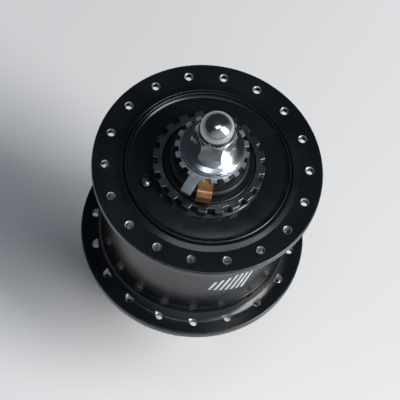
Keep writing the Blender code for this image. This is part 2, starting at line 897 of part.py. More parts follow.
def make_planet_cage():
    plate_low = BIG_STEP[1] + 0.8
    outline = [
        (CAGE_RADIUS, CAGE_LEFT),
        (CAGE_RADIUS, CAGE_RIGHT),
        (CAGE_BORE, CAGE_RIGHT),
        (CAGE_BORE, plate_low),
        (6.2, plate_low),
        (6.2, CAGE_LEFT),
    ]
    cage = finish("planet_cage", turned(outline, 30), hard_steel())
    tip = MODULE * (PLANET_BIG_TEETH / 2 + ADDENDUM)
    pocket_radius = tip + 0.9

    def pocket():
        return cylinder(pocket_radius, SMALL_STEP[0] - 0.6, BIG_STEP[1] + 0.5, 16, (PLANET_ORBIT, 0))

    def pin_hole():
        return cylinder(PIN_HOLE_RADIUS, CAGE_RIGHT - 1, CAGE_LEFT + 1, 8, (PLANET_ORBIT, 0))

    def dog_slot():
        return box((CAGE_BORE - 2, -4.0, CAGE_RIGHT - 1), (20.6, 4.0, CAGE_RIGHT + 2.8))

    combine(cage, around(pocket, thirds()), "DIFFERENCE", "MANIFOLD")
    combine(cage, around(pin_hole, thirds()), "DIFFERENCE", "MANIFOLD")
    combine(cage, around(dog_slot, thirds(pi / 3)), "DIFFERENCE", "MANIFOLD")


def planet_place(number):
    angle = thirds()[number]
    return (PLANET_ORBIT * cos(angle), PLANET_ORBIT * sin(angle), 0), angle


def make_planets():
    """Stepped planet gears on their pins; each is the first one turned about the hub's axis."""
    big = gear_loop(PLANET_BIG_TEETH, pi + pi / PLANET_BIG_TEETH)
    small = gear_loop(PLANET_SMALL_TEETH, pi + pi / PLANET_SMALL_TEETH)
    place, angle = planet_place(0)
    first = finish("planet_gear_1", plate([big], *BIG_STEP), hard_steel(), at=place, turn=angle)
    combine(first, plate([small], *SMALL_STEP), "UNION")
    combine(first, cylinder(PIN_HOLE_RADIUS, SMALL_STEP[0] - 1, BIG_STEP[1] + 1, 8), "DIFFERENCE")
    pin = cylinder(PIN_RADIUS, CAGE_RIGHT + CLEAR, CAGE_LEFT - CLEAR, 8)
    first_pin = finish("planet_pin_1", pin, hard_steel(), at=place, turn=angle)
    for number in range(1, PLANETS):
        place, angle = planet_place(number)
        twin = copy_of(first, f"planet_gear_{number + 1}", place, angle)
        for cut in first.modifiers:
            same = twin.modifiers.new(cut.name, "BOOLEAN")
            same.operation = cut.operation
            same.solver = cut.solver
            helper = cut.object.copy()
            helper.parent = twin
            bpy.context.scene.collection.objects.link(helper)
            same.object = helper
        copy_of(first_pin, f"planet_pin_{number + 1}", place, angle)


def make_free_sun_gear():
    teeth = gear_loop(FREE_SUN_TEETH, 0)
    bore = circle(SLEEVE_RADIUS + 0.4, 20)
    finish("free_sun_gear", plate([teeth, bore], SMALL_STEP[0] + CLEAR, 1.6), hard_steel())


def make_ring_gear():
    teeth = gear_loop(RING_TEETH, 0, internal=True)
    finish("ring_gear", plate([circle(33.2, 40), teeth], 2.0, 16.0), hard_steel())


def make_pawl_carrier():
    """Drum fixed to the ring gear's left end, with three notches that hold the pawls."""
    rim = 28.6
    high = RATCHET_HIGH + 0.6
    outline = [
        (33.2, 16.3),
        (33.2, 17.6),
        (rim, 18.2),
        (rim, high),
        (24.2, high),
        (23.4, 19.8),
        (17.6, 19.8),
        (17.0, high),
        (13.5, high),
        (13.5, 16.3),
    ]
    carrier = finish("pawl_carrier", turned(outline, 30), bronze())
    pivot = 1.7
    for angle in thirds():
        def notch(turn=angle):
            shape = box((24.9, -pivot - 0.6, RATCHET_LOW - 0.1), (30.5, PAWL_LENGTH + 1.2, high + 1))
            bmesh.ops.rotate(shape, verts=shape.verts, matrix=Matrix.Rotation(turn, 3, "Z"))
            return shape

        combine(carrier, notch(), "DIFFERENCE")


def make_pawls():
    """Pawls pivot on the carrier's rim, and their tips reach outward into the ratchet's saw teeth."""
    thick = 2.2
    round_end = 1.2
    tip_steps = 6
    loop = []
    for k in range(tip_steps + 1):
        angle = PAWL_LIFT + pi / 2 + pi * k / tip_steps
        loop.append((round_end * cos(angle), round_end * sin(angle)))
    along = (cos(PAWL_LIFT), sin(PAWL_LIFT))
    across = (-along[1], along[0])
    for reach, side in ((PAWL_LENGTH, -thick / 2 + 0.1), (PAWL_LENGTH, 0.5), (PAWL_LENGTH - 2.2, thick / 2)):
        loop.append((along[0] * reach + across[0] * side, along[1] * reach + across[1] * side))
    for number, angle in enumerate(thirds()):
        place = (PAWL_PIVOT_RADIUS * cos(angle), PAWL_PIVOT_RADIUS * sin(angle), 0)
        bm = plate([loop], RATCHET_LOW + 0.3, RATCHET_HIGH - 0.3)
        turn = angle + pi / 2 - 2 * PAWL_LIFT
        finish(f"pawl_{number + 1}", bm, hard_steel(), at=place, turn=turn)


def make_pawl_spring():
    """Thin wire ring in the carrier's channel."""
    path, wire, height = 21.0, 0.4, 20.6
    outline = [
        (path + wire * cos(tau * k / 6), height + wire * sin(tau * k / 6)) for k in range(6)
    ]
    finish("pawl_spring", turned(outline, 18), hard_steel())


# Gear change


def make_shift_sleeve():
    outline = [
        (AXLE_RADIUS + 0.4, 2.2),
        (SLEEVE_RADIUS, 2.2),
        (SLEEVE_RADIUS, -56.0),
        (AXLE_RADIUS + 0.4, -56.0),
    ]
    finish("shift_sleeve", turned(outline, 24), hard_steel())


def make_shift_pulley():
    """Grooved wheel that the shift cable turns; two lugs reach through the neck's windows to the sleeve."""
    bore = NECK_RADIUS + 0.4
    middle = (PULLEY_TOP + PULLEY_FOOT) / 2
    outline = [
        (bore, PULLEY_FOOT),
        (bore, PULLEY_TOP),
        (GROOVE_RADIUS - 0.6, PULLEY_TOP),
        (PULLEY_RADIUS, PULLEY_TOP - 0.5),
        (PULLEY_RADIUS, PULLEY_TOP - 1.3),
        (GROOVE_RADIUS, middle + 0.6),
        (GROOVE_RADIUS, middle - 0.6),
        (PULLEY_RADIUS, PULLEY_FOOT + 1.3),
        (PULLEY_RADIUS, PULLEY_FOOT + 0.5),
        (GROOVE_RADIUS - 0.6, PULLEY_FOOT),
    ]
    pulley = finish("shift_pulley", turned(outline, 28), grey_plastic())

    def lug():
        return box((SLEEVE_RADIUS + CLEAR, -1.1, middle - 1.4), (bore + 2, 1.1, middle + 1.4))

    combine(pulley, around(lug, (0, pi)), "UNION")


def build():
    clear_scene()
    make_axle()
    make_fixed_sun_gear()
    make_left_cone()
    make_left_dust_cap()
    make_lock_nut("left_lock_nut", LEFT_FACE - LOCK_NUT_HEIGHT)
    make_keyed_washer("left_non_turn_washer", LEFT_FACE, 1, brown_passivate())
    make_toothed_washer("left_serrated_washer", LEFT_FACE, 1, with_tab=True)
    make_cap_nut("left_cap_nut", LEFT_FACE, 1)
    make_right_cone()
    make_pulley_bracket()
    make_cable_stop()
    make_pulley_fixing_ring()
    make_pulley_spring()
    make_lock_nut("right_cone_nut", RIGHT_FACE + LOCK_NUT_HEIGHT + SPACER_LENGTH + 2 * CLEAR)
    make_right_spacer()
    make_lock_nut("right_lock_nut", RIGHT_FACE)
    make_keyed_washer("right_non_turn_washer", RIGHT_FACE, -1, zinc())
    make_toothed_washer("right_serrated_washer", RIGHT_FACE, -1, with_tab=False)
    make_cap_nut("right_cap_nut", RIGHT_FACE, -1)
    make_hub_shell()
    make_left_end_cap()
    make_grease_plug()
    make_brake_spline_ring()
    make_ratchet_ring()
    make_right_ball_cup()
    make_ball_ring("left_ball_ring", *LEFT_BALLS)
    make_ball_ring("shell_ball_ring", *SHELL_BALLS)
    make_ball_ring("driver_ball_ring", *DRIVER_BALLS)
    make_driver()
    make_driver_dust_cap()
    make_sprocket()
    make_snap_ring()
    make_planet_cage()
    make_planets()
    make_free_sun_gear()
    make_ring_gear()
    make_pawl_carrier()
    make_pawls()
    make_pawl_spring()
    make_shift_sleeve()
    make_shift_pulley()


build()
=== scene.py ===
"""Bicycle hub gear on a pale floor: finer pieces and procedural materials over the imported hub."""

import json
from math import acos, atan2, cos, hypot, pi, radians, sin, tau

import bmesh
import bpy
from mathutils import Matrix, Vector


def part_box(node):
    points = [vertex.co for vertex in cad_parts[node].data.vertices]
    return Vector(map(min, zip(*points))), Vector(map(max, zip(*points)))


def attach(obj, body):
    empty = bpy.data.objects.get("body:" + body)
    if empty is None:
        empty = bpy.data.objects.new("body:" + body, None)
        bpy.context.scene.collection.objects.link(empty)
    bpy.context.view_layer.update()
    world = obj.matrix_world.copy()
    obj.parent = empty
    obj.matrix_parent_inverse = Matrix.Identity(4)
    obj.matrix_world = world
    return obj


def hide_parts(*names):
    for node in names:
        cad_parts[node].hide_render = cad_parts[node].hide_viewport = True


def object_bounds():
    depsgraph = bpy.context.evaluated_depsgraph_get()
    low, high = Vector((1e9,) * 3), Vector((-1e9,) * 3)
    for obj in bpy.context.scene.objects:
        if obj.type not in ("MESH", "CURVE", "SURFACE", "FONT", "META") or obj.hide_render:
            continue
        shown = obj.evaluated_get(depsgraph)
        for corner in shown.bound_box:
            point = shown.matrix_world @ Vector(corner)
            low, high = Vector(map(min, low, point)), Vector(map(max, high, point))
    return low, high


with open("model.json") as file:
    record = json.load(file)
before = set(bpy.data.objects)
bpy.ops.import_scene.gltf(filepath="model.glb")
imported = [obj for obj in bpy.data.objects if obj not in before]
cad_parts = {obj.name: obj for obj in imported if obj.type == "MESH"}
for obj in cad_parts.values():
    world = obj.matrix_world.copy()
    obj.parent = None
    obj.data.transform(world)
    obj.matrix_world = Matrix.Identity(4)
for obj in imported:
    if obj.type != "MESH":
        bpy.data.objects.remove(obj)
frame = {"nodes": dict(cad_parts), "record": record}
CAD_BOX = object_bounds()
NODES = frame["nodes"]

MM = 0.001
ROUND_STEPS = 4


# Sizes in millimetres, a few of them read from the imported nodes


def reach(node):
    """Largest distance from the hub's axis, lowest and highest point of a node."""
    points = [v.co for v in NODES[node].data.vertices]
    radius = max(hypot(p.x, p.y) for p in points)
    return radius / MM, min(p.z for p in points) / MM, max(p.z for p in points) / MM


FLANGE_RADIUS, SNOUT_END, SHELL_TOP = reach("hub_shell")
FLANGE_THICK = 3.6
LIP_HEIGHT = 0.7
FLANGE_FACE = SHELL_TOP - LIP_HEIGHT
FLANGE_MIDDLE = FLANGE_FACE - FLANGE_THICK / 2
SPOKE_CIRCLE = 41.5
SPOKES_PER_FLANGE = 18
SPOKE_HOLE = 1.45
HOLE_PHASE = radians(12.9)
BARREL_RADIUS = 38.0
SHELL_BORE = 34.5
SNOUT_BORE = 30.2
AXLE_BORE = 5.05
AXLE_HALF_FLATS = 4.1
TAB_ANGLE = radians(-86.5)
LOCK_TAB_ANGLE = radians(-106.5)
GREASE_ANGLE = radians(-150)
GREASE_RADIUS = 26.2
GREASE_SPOT = (GREASE_RADIUS * cos(GREASE_ANGLE), GREASE_RADIUS * sin(GREASE_ANGLE), 0)
SPROCKET_TEETH = 19
CHAIN_PITCH = 12.7
ROLLER_RADIUS = 3.95
THREAD_WAVE = 314  # wave texture scale that gives a pitch of 1 mm


# Materials


class Nodes:
    """Short names for building a material's node tree."""

    def __init__(self, name):
        self.material = bpy.data.materials.new(name)
        self.material.use_nodes = True
        self.tree = self.material.node_tree
        self.shader = self.tree.nodes["Principled BSDF"]

    def add(self, kind, **values):
        node = self.tree.nodes.new(kind)
        for key, value in values.items():
            if key in node.inputs:
                node.inputs[key].default_value = value
            else:
                setattr(node, key, value)
        return node

    def link(self, source, target):
        self.tree.links.new(source, target)

    def place(self):
        return self.add("ShaderNodeTexCoord").outputs["Object"]

    def noise(self, scale, detail=3.0, roughness=0.5):
        node = self.add("ShaderNodeTexNoise", Scale=scale, Detail=detail, Roughness=roughness)
        self.link(self.place(), node.inputs["Vector"])
        return node.outputs["Fac"]

    def ramp(self, source, stops):
        """Maps a value through (position, colour) stops."""
        node = self.add("ShaderNodeValToRGB")
        node.color_ramp.elements[0].position = stops[0][0]
        node.color_ramp.elements[1].position = stops[-1][0]
        for position, _ in stops[1:-1]:
            node.color_ramp.elements.new(position)
        for element, (_, colour) in zip(node.color_ramp.elements, stops):
            element.color = (*colour, 1) if len(colour) == 3 else colour
        self.link(source, node.inputs["Fac"])
        return node.outputs["Color"]

    def mix(self, kind, first, second, share=1.0):
        """Colour mix; each side is a colour or an output, and so is the share."""
        node = self.add("ShaderNodeMix", data_type="RGBA", blend_type=kind)
        sides = ((node.inputs[6], first), (node.inputs[7], second), (node.inputs[0], share))
        for socket, value in sides:
            if isinstance(value, bpy.types.NodeSocket):
                self.link(value, socket)
            else:
                socket.default_value = value
        return node.outputs[2]

    def axis_distance(self):
        """Distance from the hub's axis."""
        parts = self.add("ShaderNodeSeparateXYZ")
        flat = self.add("ShaderNodeCombineXYZ")
        length = self.add("ShaderNodeVectorMath", operation="LENGTH")
        self.link(self.place(), parts.inputs[0])
        self.link(parts.outputs["X"], flat.inputs["X"])
        self.link(parts.outputs["Y"], flat.inputs["Y"])
        self.link(flat.outputs[0], length.inputs[0])
        return length.outputs["Value"]

    def between(self, source, low, high):
        """0 below the low value, 1 above the high one."""
        node = self.add("ShaderNodeMapRange")
        node.inputs["From Min"].default_value = low
        node.inputs["From Max"].default_value = high
        self.link(source, node.inputs["Value"])
        return node.outputs["Result"]

    def spread(self, source, low, high):
        """Stretches a 0 to 1 value over the range from low to high."""
        node = self.add("ShaderNodeMapRange")
        node.inputs["To Min"].default_value = low
        node.inputs["To Max"].default_value = high
        self.link(source, node.inputs["Value"])
        return node.outputs["Result"]

    def bump(self, source, strength, distance, before=None):
        node = self.add("ShaderNodeBump", Strength=strength, Distance=distance)
        self.link(source, node.inputs["Height"])
        if before is not None:
            self.link(before, node.inputs["Normal"])
        return node.outputs["Normal"]

    def turning_marks(self, scale):
        """Fine rings about the hub's axis, as a lathe leaves them."""
        node = self.add("ShaderNodeTexWave", wave_type="RINGS", rings_direction="Z")
        node.inputs["Scale"].default_value = scale
        node.inputs["Distortion"].default_value = 1.2
        node.inputs["Detail"].default_value = 2.0
        self.link(self.place(), node.inputs["Vector"])
        return node.outputs["Fac"]

    def set(self, **values):
        names = {
            "metallic": "Metallic",
            "coat": "Coat Weight",
            "coat_roughness": "Coat Roughness",
            "specular": "Specular IOR Level",
        }
        for key, value in values.items():
            self.shader.inputs[names[key]].default_value = value


def black_enamel():
    """Gloss black paint: orange peel, dust specks, and flange rims worn a little paler."""
    n = Nodes("black_enamel_paint")
    stops = [(0.35, (0.0026, 0.0038, 0.0048)), (0.75, (0.0058, 0.0088, 0.012))]
    paint = n.ramp(n.noise(55, 5), stops)
    wear_start, wear_full = 0.45, 0.1  # millimetres in from the rim
    start, full = (FLANGE_RADIUS - wear_start) * MM, (FLANGE_RADIUS - wear_full) * MM
    rim = n.between(n.axis_distance(), start, full)
    broken = n.ramp(n.noise(1000, 6, 0.7), [(0.42, (0, 0, 0)), (0.7, (0.7, 0.7, 0.7))])
    worn = n.mix("MULTIPLY", rim, broken)
    n.link(n.mix("MIX", paint, (0.08, 0.085, 0.095, 1), worn), n.shader.inputs["Base Color"])
    n.link(n.spread(n.noise(140, 6, 0.65), 0.14, 0.34), n.shader.inputs["Roughness"])
    specks = n.ramp(n.noise(2600, 2), [(0.66, (0, 0, 0)), (0.74, (1, 1, 1))])
    peel = n.bump(n.noise(900, 2), 0.1, 0.0002)
    dusty = n.bump(specks, 0.12, 0.0001, peel)
    n.link(n.bump(n.noise(60, 3), 0.05, 0.001, dusty), n.shader.inputs["Normal"])
    n.set(metallic=0.0, coat=0.06, coat_roughness=0.1, specular=0.42)
    return n.material


def worn_edge():
    """Countersink of a spoke hole: paint rubbed through to the alloy in places."""
    n = Nodes("rubbed_countersink")
    rubbed = n.ramp(n.noise(520, 5, 0.6), [(0.38, (0, 0, 0)), (0.56, (1, 1, 1))])
    colour = n.mix("MIX", (0.012, 0.013, 0.016, 1), (0.42, 0.43, 0.45, 1), rubbed)
    n.link(colour, n.shader.inputs["Base Color"])
    n.link(n.spread(n.noise(300, 4), 0.28, 0.5), n.shader.inputs["Roughness"])
    n.link(n.bump(n.noise(1300, 3), 0.15, 0.0001), n.shader.inputs["Normal"])
    n.set(metallic=0.6)
    return n.material


def satin_black():
    n = Nodes("satin_black_steel")
    n.link(n.ramp(n.noise(90, 4), [(0.3, (0.014, 0.014, 0.016)), (0.8, (0.035, 0.036, 0.04))]),
           n.shader.inputs["Base Color"])
    n.link(n.spread(n.noise(260, 4), 0.3, 0.5), n.shader.inputs["Roughness"])
    n.link(n.bump(n.turning_marks(520), 0.08, 0.0003), n.shader.inputs["Normal"])
    n.set(metallic=0.55)
    return n.material


def steel(name, dark, light, roughness, marks, strength):
    """Bare or plated steel: cloudy tone, uneven polish and turning marks."""
    n = Nodes(name)
    n.link(n.ramp(n.noise(70, 5), [(0.3, dark), (0.75, light)]), n.shader.inputs["Base Color"])
    n.link(n.spread(n.noise(220, 5, 0.6), roughness[0], roughness[1]), n.shader.inputs["Roughness"])
    grain = n.bump(n.noise(1500, 2), 0.02, 0.0001)
    n.link(n.bump(n.turning_marks(marks), strength, 0.0003, grain), n.shader.inputs["Normal"])
    n.set(metallic=1.0)
    return n.material


def threaded_axle():
    """Zinc-plated steel with a rolled thread of 1 mm pitch."""
    n = Nodes("threaded_axle_steel")
    n.link(n.ramp(n.noise(90, 5), [(0.3, (0.38, 0.39, 0.42)), (0.75, (0.62, 0.63, 0.66))]),
           n.shader.inputs["Base Color"])
    n.link(n.spread(n.noise(260, 4), 0.2, 0.36), n.shader.inputs["Roughness"])
    thread = n.add("ShaderNodeTexWave", wave_type="BANDS", bands_direction="Z")
    thread.inputs["Scale"].default_value = THREAD_WAVE
    n.link(n.place(), thread.inputs["Vector"])
    n.link(n.bump(thread.outputs["Fac"], 0.6, 0.0004), n.shader.inputs["Normal"])
    n.set(metallic=1.0)
    return n.material


def chrome():
    """Polished nut, a little dulled, with faint smudges."""
    n = Nodes("polished_chrome")
    n.link(n.ramp(n.noise(120, 4), [(0.3, (0.36, 0.385, 0.39)), (0.7, (0.5, 0.53, 0.54))]),
           n.shader.inputs["Base Color"])
    n.link(n.spread(n.noise(180, 6, 0.7), 0.11, 0.23), n.shader.inputs["Roughness"])
    n.link(n.bump(n.noise(700, 3), 0.03, 0.0002), n.shader.inputs["Normal"])
    n.set(metallic=1.0)
    return n.material


def brown_passivate():
    """Orange-brown passivated zinc with darker patches."""
    n = Nodes("brown_passivate_zinc")
    stops = [(0.3, (0.2, 0.095, 0.04)), (0.55, (0.43, 0.235, 0.11)), (0.8, (0.64, 0.43, 0.27))]
    n.link(n.ramp(n.noise(160, 6, 0.6), stops), n.shader.inputs["Base Color"])
    n.link(n.spread(n.noise(300, 4), 0.2, 0.42), n.shader.inputs["Roughness"])
    n.link(n.bump(n.noise(800, 3), 0.12, 0.0002), n.shader.inputs["Normal"])
    n.set(metallic=0.85)
    return n.material


def bronze():
    n = Nodes("sintered_bronze")
    n.link(n.ramp(n.noise(900, 4), [(0.3, (0.3, 0.16, 0.05)), (0.7, (0.6, 0.36, 0.13))]),
           n.shader.inputs["Base Color"])
    n.link(n.spread(n.noise(400, 4), 0.3, 0.5), n.shader.inputs["Roughness"])
    n.link(n.bump(n.noise(1600, 2), 0.15, 0.0002), n.shader.inputs["Normal"])
    n.set(metallic=1.0)
    return n.material


def moulded_plastic():
    n = Nodes("moulded_plastic")
    n.link(n.ramp(n.noise(120, 4), [(0.3, (0.045, 0.047, 0.05)), (0.8, (0.075, 0.078, 0.083))]),
           n.shader.inputs["Base Color"])
    n.link(n.spread(n.noise(350, 3), 0.42, 0.6), n.shader.inputs["Roughness"])
    n.link(n.bump(n.noise(2200, 2), 0.18, 0.0001), n.shader.inputs["Normal"])
    n.set(metallic=0.0)
    return n.material


def white_print():
    n = Nodes("white_print")
    n.link(n.ramp(n.noise(300, 5), [(0.3, (0.36, 0.38, 0.42)), (0.7, (0.6, 0.63, 0.67))]),
           n.shader.inputs["Base Color"])
    n.link(n.spread(n.noise(500, 3), 0.35, 0.55), n.shader.inputs["Roughness"])
    n.set(metallic=0.0)
    return n.material


ENAMEL = black_enamel()
WORN = worn_edge()
SATIN = satin_black()
CHROME = chrome()
ZINC = steel("zinc_plated_steel", (0.44, 0.45, 0.48), (0.68, 0.69, 0.72), (0.16, 0.32), 420, 0.05)
# A darker copy of the zinc plate: its dark tone is painted shade, standing in for the shaded look of the
# spline ring away from the light
DARK_ZINC = steel("shade_darkened_zinc_plate", (0.1, 0.105, 0.118), (0.27, 0.28, 0.3), (0.2, 0.36), 420, 0.05)
DULL_ZINC = steel("dull_zinc_plate", (0.32, 0.35, 0.39), (0.56, 0.6, 0.65), (0.3, 0.46), 420, 0.06)
STEEL = steel("ground_steel", (0.3, 0.3, 0.31), (0.48, 0.48, 0.49), (0.16, 0.34), 600, 0.14)
AXLE = threaded_axle()
BROWN = brown_passivate()
BRONZE = bronze()
PLASTIC = moulded_plastic()
PRINT = white_print()


# Geometry helpers


def rounded(outline, radius, closed=True, steps=ROUND_STEPS):
    """The outline with each corner drawn as a short curve."""
    made = []
    count = len(outline)
    for i, point in enumerate(outline):
        if not closed and i in (0, count - 1):
            made.append(tuple(point))
            continue
        corner = Vector(point)
        back = Vector(outline[i - 1]) - corner
        ahead = Vector(outline[(i + 1) % count]) - corner
        cut = min(radius, back.length * 0.45, ahead.length * 0.45)
        start = corner + back.normalized() * cut
        end = corner + ahead.normalized() * cut
        for step in range(steps + 1):
            share = step / steps
            made.append(tuple(start.lerp(corner, share).lerp(corner.lerp(end, share), share)))
    return made


def turned(outline, segments=128):
    """A lathe shape from an outline of (radius, height): closed, or open with both ends on the axis."""
    bm = bmesh.new()
    points = [bm.verts.new((r * MM, 0, z * MM)) for r, z in outline]
    joins = list(zip(points, points[1:]))
    if outline[0][0] > 0:
        joins.append((points[-1], points[0]))
    edges = [bm.edges.new(pair) for pair in joins]
    bmesh.ops.spin(
        bm,
        geom=points + edges,
        cent=(0, 0, 0),
        axis=(0, 0, 1),
        angle=tau,
        steps=segments,
        use_merge=True,
    )
    bmesh.ops.remove_doubles(bm, verts=bm.verts, dist=1e-7)
    return bm


def plate(loops, bottom, top):
    """A flat plate whose first loop is its edge and whose other loops are holes."""
    bm = bmesh.new()
    for loop in loops:
        points = [bm.verts.new((x * MM, y * MM, bottom * MM)) for x, y in loop]
        for start, end in zip(points, points[1:] + points[:1]):
            bm.edges.new((start, end))
    bmesh.ops.triangle_fill(bm, use_beauty=True, use_dissolve=True, edges=bm.edges[:])
    made = bmesh.ops.extrude_face_region(bm, geom=bm.faces[:])
    lifted = [item for item in made["geom"] if isinstance(item, bmesh.types.BMVert)]
    bmesh.ops.translate(bm, verts=lifted, vec=(0, 0, (top - bottom) * MM))
    return bm


def grid(rings, closed_ends=False):
    """Joins rings of points side to side; the last ring joins the first unless the ends are closed."""
    bm = bmesh.new()
    made = [[bm.verts.new(Vector(p) * MM) for p in ring] for ring in rings]
    pairs = list(zip(made, made[1:]))
    if not closed_ends:
        pairs.append((made[-1], made[0]))
    for low, high in pairs:
        for k in range(len(low)):
            after = (k + 1) % len(low)
            bm.faces.new((low[k], low[after], high[after], high[k]))
    if closed_ends:
        bm.faces.new(made[0])
        bm.faces.new(made[-1])
    return bm


def hex_rings(rows, flats, segments=96):
    """Rings for a turned hexagonal piece: each row is (largest radius, height) and the flats cut it."""
    rings = []
    for limit, height in rows:
        ring = []
        for k in range(segments):
            angle = tau * k / segments
            flat = flats / 2 / cos((angle % (pi / 3)) - pi / 6)
            size = min(limit, flat)
            ring.append((size * cos(angle), size * sin(angle), height))
        rings.append(ring)
    return rings


def circle(radius, segments=64, centre=(0.0, 0.0), phase=0.0):
    angles = [phase + tau * k / segments for k in range(segments)]
    return [(centre[0] + radius * cos(a), centre[1] + radius * sin(a)) for a in angles]


def notched(radius, depth, notches, solid_share, steps=5):
    """A circle with evenly spaced notches; the crests and roots stay round."""
    loop = []
    step = tau / notches
    flank = 0.04  # share of a step taken by each side of a notch
    for k in range(notches):
        start = k * step
        for size, low, high in (
            (radius, start, start + solid_share * step),
            (radius - depth, start + (solid_share + flank) * step, start + (1 - flank) * step),
        ):
            for s in range(steps + 1):
                angle = low + (high - low) * s / steps
                loop.append((size * cos(angle), size * sin(angle)))
    return loop


def box_shape(low, high, turn=0.0):
    bm = bmesh.new()
    bmesh.ops.create_cube(bm, size=1)
    size = Vector([b - a for a, b in zip(low, high)]) * MM
    middle = Vector([(a + b) / 2 for a, b in zip(low, high)]) * MM
    bmesh.ops.scale(bm, vec=size, verts=bm.verts)
    bmesh.ops.translate(bm, vec=middle, verts=bm.verts)
    bmesh.ops.rotate(bm, verts=bm.verts, matrix=Matrix.Rotation(turn, 3, "Z"))
    return bm


def moved(bm, offset=(0, 0, 0), turn=0.0, axis="Z"):
    """The shape turned about an axis through the origin, then shifted."""
    bmesh.ops.rotate(bm, verts=bm.verts, matrix=Matrix.Rotation(turn, 3, axis))
    bmesh.ops.translate(bm, vec=Vector(offset) * MM, verts=bm.verts)
    return bm


def joined(shapes):
    """Several bmeshes in one."""
    whole = bmesh.new()
    for shape in shapes:
        mesh = bpy.data.meshes.new("part")
        shape.to_mesh(mesh)
        shape.free()
        whole.from_mesh(mesh)
        bpy.data.meshes.remove(mesh)
    return whole


def mesh_object(name, bm, *looks):
    bmesh.ops.recalc_face_normals(bm, faces=bm.faces)
    mesh = bpy.data.meshes.new(name)
    bm.to_mesh(mesh)
    bm.free()
    for look in looks:
        mesh.materials.append(look)
    obj = bpy.data.objects.new(name, mesh)
    bpy.context.scene.collection.objects.link(obj)
    return obj


def piece(name, bm, look, body, nodes=(), bevel=0.0, cuts=(), sharp=35):
    """A finished piece: Boolean cuts, then a bevel and weighted normals, riding on its body."""
    obj = mesh_object(name, bm, look)
    helpers = []
    for number, (shape, looks, operation) in enumerate(cuts):
        helper = mesh_object(f"{name}_cut_{number}", shape, *looks)
        helpers.append(helper)
        cut = obj.modifiers.new("cut", "BOOLEAN")
        cut.object = helper
        cut.operation = operation
        cut.solver = "EXACT"
        cut.material_mode = "TRANSFER"
    if helpers:
        bake_modifiers(obj)
        for helper in helpers:
            bpy.data.objects.remove(helper, do_unlink=True)
    obj.data.shade_smooth()
    obj.data.set_sharp_from_angle(angle=radians(sharp))
    if bevel:
        edge = obj.modifiers.new("edge", "BEVEL")
        edge.width = bevel * MM
        edge.segments = 3
        edge.limit_method = "ANGLE"
        edge.angle_limit = radians(35)
        edge.harden_normals = False
    weigh = obj.modifiers.new("normals", "WEIGHTED_NORMAL")
    weigh.keep_sharp = not bevel
    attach(obj, body)
    if nodes:
        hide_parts(*nodes)
    return obj


def bake_modifiers(obj):
    """Replaces the mesh with what its modifiers make of it."""
    bpy.context.view_layer.update()
    graph = bpy.context.evaluated_depsgraph_get()
    baked = bpy.data.meshes.new_from_object(obj.evaluated_get(graph), depsgraph=graph)
    old = obj.data
    obj.modifiers.clear()
    obj.data = baked
    baked.name = obj.name
    bpy.data.meshes.remove(old)


# Pieces of the shell


def spoke_hole_shapes():
    """Through holes with a small countersink at both faces of each flange."""
    sink = 0.4
    past = 0.6
    half = FLANGE_THICK / 2
    heights = (-half - past, -half + sink, half - sink, half + past)
    radii = (SPOKE_HOLE + sink + past, SPOKE_HOLE, SPOKE_HOLE, SPOKE_HOLE + sink + past)
    shapes = []
    for side, phase in ((1, HOLE_PHASE), (-1, HOLE_PHASE + pi / SPOKES_PER_FLANGE)):
        for k in range(SPOKES_PER_FLANGE):
            angle = phase + tau * k / SPOKES_PER_FLANGE
            centre = (SPOKE_CIRCLE * cos(angle), SPOKE_CIRCLE * sin(angle))
            rings = [
                [(x, y, side * FLANGE_MIDDLE + z) for x, y in circle(r, 20, centre)]
                for r, z in zip(radii, heights)
            ]
            hole = grid(rings, closed_ends=True)
            for face in hole.faces:
                if abs(face.calc_center_median().z / MM - side * FLANGE_MIDDLE) > half - sink:
                    face.material_index = 1
            bmesh.ops.recalc_face_normals(hole, faces=hole.faces)
            shapes.append(hole)
    return joined(shapes)


def shell_outline():
    """Profile of the shell from the upper flange down the barrel to the snout."""
    face, edge = FLANGE_FACE, FLANGE_RADIUS
    back = face - FLANGE_THICK
    fillet_steps = 8
    fillet = [
        (BARREL_RADIUS + 4.4 * (1 - sin(a)), back - 5.0 * (1 - cos(a)))
        for a in [pi / 2 * k / fillet_steps for k in range(fillet_steps + 1)]
    ]
    groove = [
        (BARREL_RADIUS, back - 6.4),
        (BARREL_RADIUS - 0.25, back - 6.65),
        (BARREL_RADIUS - 0.25, back - 7.05),
        (BARREL_RADIUS, back - 7.3),
    ]
    rim = rounded(
        [
            (SHELL_BORE, face - 4),
            (SHELL_BORE, face + LIP_HEIGHT),
            (SHELL_BORE + 0.7, face + 0.66),
            (SHELL_BORE + 2.5, face + 0.12),
            (SHELL_BORE + 2.9, face),
            (edge, face),
            (edge, back),
            (fillet[0][0] + 0.8, back),
        ],
        0.75,
        closed=False,
    )
    upper = rim + fillet + groove
    lower_rim = rounded(
        [(fillet[0][0] + 0.8, -back), (edge, -back), (edge, -face), (36.4, -face), (35.2, -face - 0.5)],
        0.75,
        closed=False,
    )
    lower = [(r, -z) for r, z in reversed(fillet + groove)] + lower_rim
    snout = rounded(
        [
            (35.2, -face - 0.5),
            (33.6, -face - 3.2),
            (33.0, SNOUT_END),
            (SNOUT_BORE, SNOUT_END),
            (SNOUT_BORE, -29.6),
            (SHELL_BORE, -26.0),
        ],
        0.5,
        closed=False,
    )
    return upper + lower + snout[1:]


def make_shell():
    cuts = [(spoke_hole_shapes(), (ENAMEL, WORN), "DIFFERENCE")]
    bm = turned(shell_outline(), 144)
    piece("shell", bm, ENAMEL, "shell_group", ["hub_shell"], cuts=cuts)


